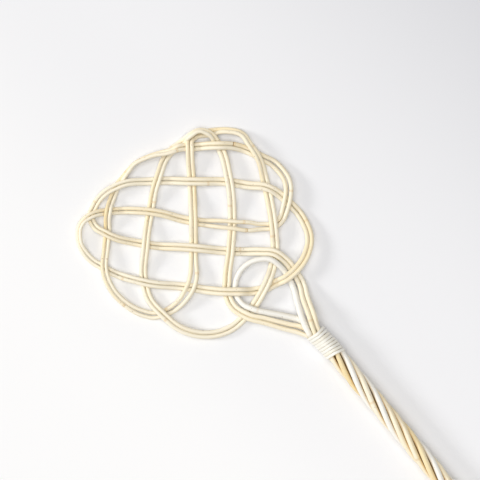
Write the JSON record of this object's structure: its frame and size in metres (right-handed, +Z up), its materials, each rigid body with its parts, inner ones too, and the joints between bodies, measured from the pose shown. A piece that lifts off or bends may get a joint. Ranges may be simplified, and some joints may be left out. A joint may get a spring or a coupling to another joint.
{
  "type": "carpet beater",
  "caption": "Carpet beater of woven rattan: a flat interlaced knot head, a strip-bound neck and a long handle twisted from canes round a core.",
  "frame": {"origin": "middle of the beater's footprint, on the surface that it lies on", "axes": "+Y along the handle towards the head's far end, +X across the head, +Z up from the surface"},
  "size_m": [0.215, 0.6018, 0.0207],
  "materials": {
    "cane": "peeled rattan cane, pale straw to honey, satin",
    "white_cane": "thicker bleached rattan cane, off-white, satin",
    "strip": "flat split cane strip, smooth glossy outer skin"
  },
  "bodies": {
    "root": {"cane_unbroken": "cane", "cane_right_leg": "cane", "cane_right_loop": "cane", "cane_corner": "cane", "cane_lower_leg": "cane", "cane_white": "white_cane", "handle_core": "white_cane", "neck_binding": "strip", "butt_binding": "strip"}
  },
  "joints": []
}
